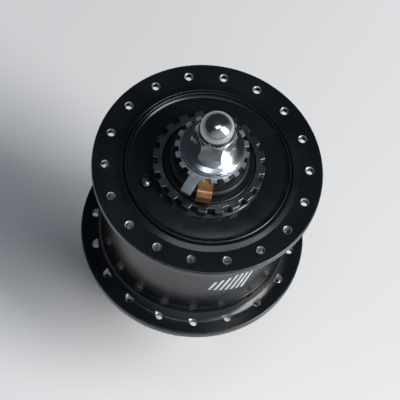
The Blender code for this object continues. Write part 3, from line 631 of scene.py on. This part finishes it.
def make_shell_mark():
    """Seven slanted bars of growing length printed round the barrel."""
    bars = 7
    spacing = 2.7
    width = 1.25
    slant = 0.32
    middle = radians(-57.5)
    sunk, proud = 0.02, 0.05
    shortest, growth = 7.0, 1.7
    steps = 8
    shapes = []
    for k in range(bars):
        length = shortest + growth * k
        centre = (k - (bars - 1) / 2) * spacing
        rings = []
        for step in range(steps + 1):
            height = -length / 2 + length * step / steps
            ring = []
            for side, lift in ((-0.5, 0.0), (0.5, 0.0), (0.5, proud), (-0.5, proud)):
                arc = centre + slant * height + side * width
                angle = middle + arc / BARREL_RADIUS
                radius = BARREL_RADIUS - sunk + lift
                ring.append((radius * cos(angle), radius * sin(angle), height))
            rings.append(ring)
        shapes.append(grid(rings, closed_ends=True))
    piece("shell_mark", joined(shapes), PRINT, "shell_group")


def make_end_cap():
    """Gently crowned cover with a raised rim and a hole for the grease screw."""
    top = reach("left_end_cap")[2]
    inner, outer, crown = 22.6, 31.8, 0.0098
    steps = 10
    middle_height = 33.5
    radii = [outer + (inner - outer) * k / steps for k in range(steps + 1)]
    domed = [(r, middle_height - crown * (r - inner) ** 2) for r in radii]
    outline = rounded(
        [
            (34.2, 27.2),
            (34.2, 33.0),
            (33.9, 33.9),
            (33.2, 34.05),
            (32.7, 33.3),
            *domed,
            (22.2, 34.0),
            (18.6, 34.2),
            (18.6, top),
            (15.4, top),
            (15.4, 31.2),
            (14.2, 29.3),
            (11.4, 29.3),
            (11.4, 27.4),
        ],
        0.5,
    )
    hole = turned([(0, 25), (2.35, 25), (2.35, 32.8), (3.2, 33.7), (3.2, 36), (0, 36)], 32)
    cuts = [(moved(hole, GREASE_SPOT), (ENAMEL,), "DIFFERENCE")]
    bm = turned(outline, 144)
    piece("end_cap", bm, ENAMEL, "shell_group", ["left_end_cap"], cuts=cuts)


def make_grease_screw():
    outline = rounded([(2.1, 28.4), (2.1, 32.6), (2.1, 33.5), (1.3, 34.2)], 0.5, closed=False)
    bm = moved(turned([(0, 28.4), *outline, (0, 34.5)], 32), GREASE_SPOT)
    slot = moved(box_shape((-3, -0.35, 33.6), (3, 0.35, 35)), GREASE_SPOT)
    cuts = [(slot, (DARK_ZINC,), "DIFFERENCE")]
    piece("grease_screw", bm, DARK_ZINC, "shell_group", ["grease_plug"], cuts=cuts)


def make_spline_ring():
    _, low, high = reach("brake_spline_ring")
    notches = 20
    edge = rounded(notched(22.8, 1.9, notches, 0.52, 4), 0.3, steps=2)
    bm = plate([edge, circle(18.9, 96)], low, high)
    # The spline ring takes the darker zinc copy, whose dark tone is painted shade
    piece("spline_ring", bm, DARK_ZINC, "shell_group", ["brake_spline_ring"], bevel=0.25)


# Pieces on the axle's left end


def make_dust_cap():
    _, low, high = reach("left_dust_cap")
    outline = rounded(
        [
            (9.9, low),
            (15.4, low),
            (16.0, low + 0.5),
            (16.0, high - 0.7),
            (15.5, high),
            (14.6, high),
            (14.0, high - 0.45),
            (12.2, high - 0.45),
            (11.5, high - 0.9),
            (10.2, high - 0.9),
            (10.2, low + 1.2),
            (9.9, low + 1.2),
        ],
        0.35,
    )
    bm = turned(outline, 112)
    piece("bearing_dust_cap", bm, SATIN, "axle_group", ["left_dust_cap"])


def make_hex_nut(name, node, flats, look):
    _, low, high = reach(node)
    corner = flats / 2 / cos(pi / 6)
    chamfer = 0.9
    steps = 5
    start = flats / 2 - 0.35
    bore_chamfer = 0.5
    cone = [(start + (corner - start) * k / steps, chamfer * k / steps) for k in range(1, steps + 1)]
    rows = [(AXLE_BORE + bore_chamfer, low), (start, low)]
    rows += [(radius, low + rise) for radius, rise in cone]
    rows += [(radius, high - rise) for radius, rise in reversed(cone)]
    rows += [(start, high), (AXLE_BORE + bore_chamfer, high)]
    rows += [(AXLE_BORE, high - bore_chamfer), (AXLE_BORE, low + bore_chamfer)]
    piece(name, grid(hex_rings(rows, flats)), look, "axle_group", [node], sharp=24)


def flatted_bore():
    """Round bore with two flats, to key on the axle."""
    flat = AXLE_HALF_FLATS
    return [(max(-flat, min(flat, x)), y) for x, y in circle(AXLE_BORE, 64)]


def bent_strip(start, extent, level, end, half_width, thick, bend_radius):
    """A flat strip that leaves along X at a level and bends to run along Z to its end."""
    way = 1 if end > level else -1
    steps = 8
    middle_radius = bend_radius + thick / 2
    turn_x = extent - thick / 2 - middle_radius
    path = [((start, level), 0.0), ((turn_x, level), 0.0)]
    for k in range(1, steps + 1):
        lean = pi / 2 * k / steps
        spot = (turn_x + middle_radius * sin(lean), level + way * middle_radius * (1 - cos(lean)))
        path.append((spot, lean))
    path.append(((extent - thick / 2, end), pi / 2))
    rings = []
    for (x, z), lean in path:
        ring = []
        for side, lift in ((-1, -1), (1, -1), (1, 1), (-1, 1)):
            shift = lift * thick / 2
            ring.append((x + shift * sin(lean), side * half_width, z - way * shift * cos(lean)))
        rings.append(ring)
    return grid(rings, closed_ends=True)


def make_keyed_washer(name, node, look, inward):
    """Washer with pressed ribs on both faces and a tab bent towards the hub."""
    _, low, high = reach(node)
    thick, radius = 1.6, 12.0
    bottom = high - thick if inward < 0 else low
    disc = plate([circle(radius, 96), flatted_bore()], bottom, bottom + thick)
    end = low if inward < 0 else high
    tab_start, tab_reach, tab_half_width, tab_thick, bend = 10.0, 20.45, 3.0, thick - 0.06, 1.0
    tab = bent_strip(tab_start, tab_reach, bottom + thick / 2, end, tab_half_width, tab_thick, bend)
    bmesh.ops.recalc_face_normals(tab, faces=tab.faces)
    ribs = 24
    rib_height = 0.12
    rib_low = (8.6, -0.35, bottom - rib_height)
    rib_high = (11.3, 0.35, bottom + thick + rib_height)
    shapes = [box_shape(rib_low, rib_high, tau * k / ribs) for k in range(ribs)]
    cuts = [(moved(tab, turn=TAB_ANGLE), (look,), "UNION"), (joined(shapes), (look,), "UNION")]
    piece(name, disc, look, "axle_group", [node], bevel=0.16, cuts=cuts)


def make_lock_washer(name, node, tab_angle=None):
    """External-tooth lock washer; the left one has a short narrow tab too."""
    _, low, high = reach(node)
    teeth = 18
    edge = rounded(notched(15.0, 1.6, teeth, 0.46, 3), 0.25, steps=2)
    disc = plate([edge, circle(AXLE_BORE, 64)], low, high)
    cuts = []
    if tab_angle is not None:
        start, end, half, inset = 12.0, 22.6, 2.2, 0.05
        strip = rounded([(start, -half), (end, -half), (end, half), (start, half)], 0.9)
        tab = moved(plate([strip], low + inset, high - inset), turn=tab_angle)
        bmesh.ops.recalc_face_normals(tab, faces=tab.faces)
        cuts.append((tab, (DULL_ZINC,), "UNION"))
    piece(name, disc, DULL_ZINC, "axle_group", [node], bevel=0.15, cuts=cuts)


def make_dome_nut(name, node, outward):
    """Domed hexagonal nut with a round flange, closed at its outer end."""
    _, low, high = reach(node)
    base = low if outward > 0 else high
    height = high - low
    half_flats = 7.5
    flange = 12.8
    corner = half_flats / cos(pi / 6)
    dome_radius = half_flats - 0.1
    hex_foot, hex_top, dome_foot = 4, 13.9, 15.1
    rows = [
        (AXLE_BORE, 18.4),
        (AXLE_BORE, 0.5),
        (AXLE_BORE + 0.5, 0),
        (flange - 0.7, 0),
        (flange - 0.25, 0.12),
        (flange, 0.5),
        (flange, 1.6),
        (flange - 0.15, 1.95),
        (flange - 0.6, 2.25),
        (flange - 2.2, 2.7),
        (corner + 0.9, 3.2),
        (corner + 0.3, 3.7),
        (corner + 0.05, 4.4),
        (corner + 0.05, 5.0),
    ]
    chamfer_steps = 10
    for k in range(chamfer_steps + 1):
        share = k / chamfer_steps
        rows.append((corner + (dome_radius - corner) * share, hex_top + (dome_foot - hex_top) * share))
    dome_steps = 24
    fullness = 0.84
    for k in range(1, dome_steps + 1):
        angle = pi / 2 * k / (dome_steps + 0.3)
        radius = dome_radius * cos(angle) ** fullness
        rows.append((radius, dome_foot + (height - dome_foot) * sin(angle) ** fullness))
    segments = 120
    rings = []
    for limit, up in rows:
        hexed = hex_foot < up < dome_foot and limit > AXLE_BORE
        ring = []
        for k in range(segments):
            angle = tau * k / segments
            flat = half_flats / cos((angle % (pi / 3)) - pi / 6)
            size = min(limit, flat) if hexed else limit
            ring.append((size * cos(angle), size * sin(angle), base + outward * up))
        rings.append(ring)
    bm = grid(rings, closed_ends=True)
    piece(name, bm, CHROME, "axle_group", [node], sharp=24)


# Pieces on the sprocket side


def sprocket_loop():
    """Edge of the sprocket: a roller seat and a pointed tooth in turn."""
    pitch_radius = CHAIN_PITCH / (2 * sin(pi / SPROCKET_TEETH))
    crest = pitch_radius + 3.5
    seat_steps = 12
    half_seat = radians(64)
    flank_slope = 14.0
    loop = []
    for k in range(SPROCKET_TEETH):
        middle = tau * k / SPROCKET_TEETH
        cx, cy = pitch_radius * cos(middle), pitch_radius * sin(middle)
        for step in range(seat_steps + 1):
            swing = half_seat * (2 * step / seat_steps - 1)
            angle = middle + pi - swing
            loop.append((cx + ROLLER_RADIUS * cos(angle), cy + ROLLER_RADIUS * sin(angle)))
        for share in (0.4, 0.465, 0.5, 0.535, 0.6):
            angle = middle + share * tau / SPROCKET_TEETH
            size = crest - flank_slope * abs(share - 0.5)
            loop.append((size * cos(angle), size * sin(angle)))
    return loop


def lobed_bore(radius, depth, half, segments=144):
    """A bore with three lugs that reach inward."""
    loop = []
    for k in range(segments):
        angle = tau * k / segments
        off = min(abs((angle - tau * j / 3 + pi) % tau - pi) for j in range(3))
        size = radius - depth if off < half else radius
        loop.append((size * cos(angle), size * sin(angle)))
    return loop


def make_sprocket():
    _, low, high = reach("sprocket")
    holes, hole_radius, hole_circle = 6, 3.4, 27
    angles = [tau * k / holes for k in range(holes)]
    loops = [circle(hole_radius, 40, (hole_circle * cos(a), hole_circle * sin(a))) for a in angles]
    bm = plate([sprocket_loop(), lobed_bore(17.7, 1.3, radians(9)), *loops], low, high)
    piece("chain_sprocket", bm, ZINC, "driver_group", ["sprocket"], bevel=0.45)


def make_snap_ring():
    _, low, high = reach("sprocket_snap_ring")
    gap = radians(9)
    steps = 90
    angles = [gap + (tau - 2 * gap) * k / steps for k in range(steps + 1)]
    path, half_thick = 18.75, (high - low) / 2
    half_wide = 1.5 * half_thick
    section = 12
    rings = []
    for a in angles:
        ring = []
        for s in range(section):
            t = tau * s / section
            radius = path + half_wide * cos(t)
            ring.append((radius * cos(a), radius * sin(a), low + half_thick + half_thick * sin(t)))
        rings.append(ring)
    bm = grid(rings, closed_ends=True)
    piece("snap_ring", bm, STEEL, "driver_group", ["sprocket_snap_ring"])


def make_driver_cover():
    _, low, high = reach("driver_dust_cap")
    outline = rounded(
        [
            (20.1, high),
            (33.2, high),
            (34.2, high - 0.5),
            (33.9, high - 1.3),
            (31.0, high - 1.6),
            (30.4, high - 1.3),
            (28.8, high - 1.5),
            (26.0, high - 2.4),
            (24.4, low),
            (20.1, low),
        ],
        0.4,
    )
    bm = turned(outline, 128)
    piece("driver_cover", bm, SATIN, "driver_group", ["driver_dust_cap"])


def make_pulley():
    _, low, high = reach("shift_pulley")
    middle = (low + high) / 2
    radius, groove = 22.8, 20.8
    outline = rounded(
        [
            (9.8, low),
            (9.8, high),
            (12.4, high),
            (12.9, high - 0.7),
            (17.6, high - 0.7),
            (18.1, high),
            (groove + 0.6, high),
            (radius, high - 0.6),
            (radius, high - 1.2),
            (groove, middle + 0.7),
            (groove, middle - 0.7),
            (radius, low + 1.2),
            (radius, low + 0.6),
            (groove + 0.6, low),
        ],
        0.35,
    )
    notch = box_shape((19.2, -2.2, middle - 0.5), (24.0, 2.2, high + 1), radians(200))
    cuts = [(notch, (PLASTIC,), "DIFFERENCE")]
    for turn in (0, pi):
        lug = box_shape((7.6, -1.1, middle - 1.4), (11.8, 1.1, middle + 1.4), turn)
        cuts.append((lug, (PLASTIC,), "UNION"))
    bm = turned(outline, 128)
    piece("cable_pulley", bm, PLASTIC, "shift_group", ["shift_pulley"], cuts=cuts)


def make_bracket():
    """Plate with an arm: the outline runs round both circles and their shared tangents."""
    _, low, high = reach("pulley_bracket")
    stop_low, stop_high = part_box("cable_stop")
    big, small = 23.6, 5.0
    cx, cy = (stop_low.x / MM + 5.0), (stop_low.y + stop_high.y) / 2 / MM
    distance = hypot(cx, cy)
    lean = atan2(cy, cx)
    spread = acos((big - small) / distance)
    big_steps, small_steps, ribs = 96, 24, 9
    outline = []
    for k in range(big_steps + 1):
        a = lean + spread + (tau - 2 * spread) * k / big_steps
        outline.append((big * cos(a), big * sin(a)))
    for k in range(small_steps + 1):
        a = lean - spread + 2 * spread * k / small_steps
        outline.append((cx + small * cos(a), cy + small * sin(a)))
    recess = plate([circle(20.6, 96), circle(13.6, 96)], low - 1, low + 0.9)
    bmesh.ops.recalc_face_normals(recess, faces=recess.faces)
    rib_low, rib_high = (13.0, -0.6, low + 0.1), (21.0, 0.6, low + 1.4)
    webs = joined([box_shape(rib_low, rib_high, tau * k / ribs) for k in range(ribs)])
    cuts = [(recess, (PLASTIC,), "DIFFERENCE"), (webs, (PLASTIC,), "UNION")]
    bm = plate([outline, circle(9.7, 96)], low, high)
    piece("shift_bracket", bm, PLASTIC, "axle_group", ["pulley_bracket"], bevel=0.35, cuts=cuts)


def make_cable_seat():
    low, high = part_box("cable_stop")
    length = (high.x - low.x) / MM
    radius = 3.0
    outline = rounded(
        [
            (1.0, 0),
            (radius - 0.5, 0),
            (radius, 0.5),
            (radius, 2.6),
            (radius - 0.35, 2.9),
            (radius - 0.35, 3.5),
            (radius, 3.8),
            (radius, length - 0.4),
            (radius - 0.4, length),
            (2.1, length),
            (2.1, 2.5),
            (1.0, 2.5),
        ],
        0.2,
    )
    bm = moved(turned(outline, 48), turn=pi / 2, axis="Y")
    place = (low.x / MM, (low.y + high.y) / 2 / MM, (low.z + high.z) / 2 / MM)
    piece("cable_seat", moved(bm, place), ZINC, "axle_group", ["cable_stop"])


def make_fixing_ring():
    _, low, high = reach("pulley_fixing_ring")
    notches = 6
    edge = rounded(notched(15.4, 1.6, notches, 0.72, 10), 0.5, steps=3)
    bm = plate([edge, circle(9.7, 96)], low, high)
    piece("fixing_ring", bm, ZINC, "axle_group", ["pulley_fixing_ring"], bevel=0.25)


def make_spacer():
    _, low, high = reach("right_spacer")
    outline = rounded([(AXLE_BORE, low), (9.6, low), (9.6, high), (AXLE_BORE, high)], 0.5)
    piece("spacer_sleeve", turned(outline, 96), SATIN, "axle_group", ["right_spacer"])


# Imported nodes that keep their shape


def finish_nodes():
    """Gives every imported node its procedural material; the replaced ones are hidden by their pieces."""
    looks = {
        "hard_steel": STEEL,
        "zinc_plate": ZINC,
        "bronze": BRONZE,
        "black_steel": SATIN,
        "black_enamel": ENAMEL,
        "chrome": CHROME,
        "brown_passivate": BROWN,
        "grey_plastic": PLASTIC,
    }
    for part in frame["record"]["subparts"]:
        node = NODES[part["node"]]
        node.data.materials.clear()
        look = AXLE if part["node"] == "axle" else looks[part["material_slot"]]
        node.data.materials.append(look)


# Stage


def make_floor():
    size = 6.0
    gap = 0.0002  # metres below the lowest point
    bm = bmesh.new()
    bmesh.ops.create_grid(bm, x_segments=1, y_segments=1, size=size)
    n = Nodes("pale_floor")
    n.link(n.ramp(n.noise(3, 3), [(0.3, (0.68, 0.68, 0.685)), (0.7, (0.74, 0.74, 0.745))]),
           n.shader.inputs["Base Color"])
    n.shader.inputs["Roughness"].default_value = 0.75
    floor = mesh_object("floor", bm, n.material)
    floor.location.z = CAD_BOX[0].z - gap


def area_light(name, place, size, power, colour):
    """A rectangular light aimed at the origin."""
    light = bpy.data.lights.new(name, "AREA")
    light.shape = "RECTANGLE"
    light.size, light.size_y = size
    light.energy = power
    light.color = colour
    obj = bpy.data.objects.new(name, light)
    obj.location = place
    obj.rotation_euler = (-Vector(place)).to_track_quat("-Z", "Y").to_euler()
    bpy.context.scene.collection.objects.link(obj)


def make_lights():
    """A tall soft light on the right and a weak one overhead."""
    warm, cool = (1.0, 0.985, 0.965), (0.78, 0.9, 1.0)
    area_light("key_right", (0.95, -0.25, 0.76), size=(0.5, 1.3), power=24, colour=warm)
    area_light("fill_overhead", (0.1, -0.12, 1.45), size=(0.7, 0.4), power=3.2, colour=cool)


def make_world():
    """A room that is palest along the horizon and low down in front and to the right."""
    bright_side = (0.62, -0.66, -0.1)
    dim, bright, glow = (0.035, 0.04, 0.05, 1), (0.6, 0.64, 0.7, 1), (0.42, 0.43, 0.45, 1)
    glow_start, glow_end = 0.02, 0.16  # height above or below the horizon, as a sine
    world = bpy.data.worlds.new("studio")
    world.use_nodes = True
    tree = world.node_tree
    place = tree.nodes.new("ShaderNodeTexCoord")
    towards_light = tree.nodes.new("ShaderNodeVectorMath")
    towards_light.operation = "DOT_PRODUCT"
    towards_light.inputs[1].default_value = bright_side
    fade = tree.nodes.new("ShaderNodeValToRGB")
    fade.color_ramp.elements[0].position = 0.0
    fade.color_ramp.elements[0].color = dim
    fade.color_ramp.elements[1].position = 0.8
    fade.color_ramp.elements[1].color = bright
    tree.links.new(place.outputs["Generated"], towards_light.inputs[0])
    tree.links.new(towards_light.outputs["Value"], fade.inputs["Fac"])
    height = tree.nodes.new("ShaderNodeSeparateXYZ")
    above = tree.nodes.new("ShaderNodeMath")
    above.operation = "ABSOLUTE"
    horizon = tree.nodes.new("ShaderNodeValToRGB")
    horizon.color_ramp.interpolation = "EASE"
    horizon.color_ramp.elements[0].position = glow_start
    horizon.color_ramp.elements[0].color = glow
    horizon.color_ramp.elements[1].position = glow_end
    horizon.color_ramp.elements[1].color = (0, 0, 0, 1)
    lighter = tree.nodes.new("ShaderNodeMix")
    lighter.data_type = "RGBA"
    lighter.blend_type = "LIGHTEN"
    lighter.inputs[0].default_value = 1.0
    tree.links.new(place.outputs["Generated"], height.inputs[0])
    tree.links.new(height.outputs["Z"], above.inputs[0])
    tree.links.new(above.outputs[0], horizon.inputs["Fac"])
    tree.links.new(fade.outputs["Color"], lighter.inputs[6])
    tree.links.new(horizon.outputs["Color"], lighter.inputs[7])
    tree.links.new(lighter.outputs[2], tree.nodes["Background"].inputs["Color"])
    tree.nodes["Background"].inputs["Strength"].default_value = 1.0
    bpy.context.scene.world = world


def make_camera():
    """Looks down on the flange at 64 degrees, with the axle leaning to the right of up."""
    elevation = radians(64)
    lean = radians(13.5)
    distance = 1.24
    view_width = 0.165
    middle = Vector((0, 0, 0.002))
    forward = Vector((0, cos(elevation), -sin(elevation)))
    up = Vector((0, sin(elevation), cos(elevation)))
    right = Vector((1, 0, 0))
    rolled_right = right * cos(lean) + up * sin(lean)
    rolled_up = up * cos(lean) - right * sin(lean)
    data = bpy.data.cameras.new("camera")
    data.sensor_width = 36
    data.lens = data.sensor_width * distance / view_width
    camera = bpy.data.objects.new("camera", data)
    turn = Matrix((rolled_right, rolled_up, -forward)).transposed()
    camera.matrix_world = Matrix.Translation(middle - forward * distance) @ turn.to_4x4()
    bpy.context.scene.collection.objects.link(camera)
    bpy.context.scene.camera = camera
    bpy.context.scene.view_settings.view_transform = "Standard"


finish_nodes()
make_shell()
make_shell_mark()
make_end_cap()
make_grease_screw()
make_spline_ring()
make_dust_cap()
make_hex_nut("cone_lock_nut", "left_lock_nut", 17.0, ZINC)
make_keyed_washer("keyed_washer_left", "left_non_turn_washer", BROWN, -1)
make_lock_washer("lock_washer_left", "left_serrated_washer", LOCK_TAB_ANGLE)
make_dome_nut("dome_nut_left", "left_cap_nut", 1)
make_sprocket()
make_snap_ring()
make_driver_cover()
make_pulley()
make_bracket()
make_cable_seat()
make_fixing_ring()
make_hex_nut("adjusting_nut", "right_cone_nut", 17.0, ZINC)
make_spacer()
make_hex_nut("frame_lock_nut", "right_lock_nut", 17.0, ZINC)
make_keyed_washer("keyed_washer_right", "right_non_turn_washer", ZINC, 1)
make_lock_washer("lock_washer_right", "right_serrated_washer")
make_dome_nut("dome_nut_right", "right_cap_nut", -1)
make_floor()
make_lights()
make_world()
make_camera()
